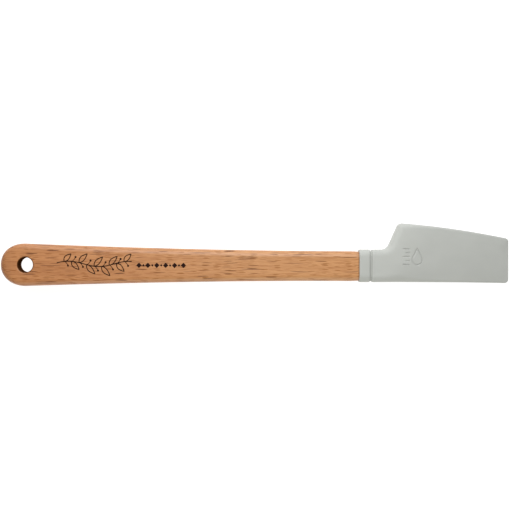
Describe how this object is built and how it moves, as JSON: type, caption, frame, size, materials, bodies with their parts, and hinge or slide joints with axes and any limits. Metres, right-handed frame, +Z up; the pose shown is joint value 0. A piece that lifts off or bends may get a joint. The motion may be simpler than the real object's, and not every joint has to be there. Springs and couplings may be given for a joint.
{
  "type": "ink knife",
  "caption": "Small hand knife for spreading ink or paint: flat tapered beech handle with a hang hole and a flexible cleaver-shaped silicone blade.",
  "frame": {"origin": "centre of the bounding box at the underside, with the tool lying flat", "axes": "+X along the tool from the butt of the handle to the working edge of the blade, +Y towards the side on which the blade rises above the handle, +Z up through the thickness"},
  "size_m": [0.17, 0.0216, 0.0079],
  "materials": {
    "beech": "bare sanded beech with short dark ray flecks, lightly oiled",
    "collar_silicone": "matte silicone",
    "blade_silicone": "matte moulded silicone",
    "insert_nylon": "moulded nylon",
    "cured_glue": "cured epoxy"
  },
  "bodies": {
    "handle": {"handle": "beech", "core_insert": "insert_nylon", "core_adhesive": "cured_glue", "collar": "collar_silicone", "blade_root": "blade_silicone"},
    "blade_heel": {"blade_heel": "blade_silicone"},
    "blade_middle": {"blade_middle": "blade_silicone"},
    "blade_edge": {"blade_edge": "blade_silicone"}
  },
  "joints": [
    {"name": "blade_bend", "type": "hinge", "parent": "handle", "child": "blade_heel", "pos_m": [0.061, 0, 0.00395], "axis": [0, 1, 0], "range_deg": [-9, 9], "stiffness_Nm_per_rad": 0.13},
    {"name": "blade_bend_middle", "type": "hinge", "parent": "blade_heel", "child": "blade_middle", "pos_m": [0.0695, 0, 0.00395], "axis": [0, 1, 0], "range_deg": [-14, 14], "stiffness_Nm_per_rad": 0.06},
    {"name": "blade_bend_edge", "type": "hinge", "parent": "blade_middle", "child": "blade_edge", "pos_m": [0.078, 0, 0.00395], "axis": [0, 1, 0], "range_deg": [-18, 18], "stiffness_Nm_per_rad": 0.02}
  ],
  "couplings": [
    {"joint": "blade_bend_middle", "follows": "blade_bend", "ratio": 1.55},
    {"joint": "blade_bend_edge", "follows": "blade_bend", "ratio": 2}
  ]
}
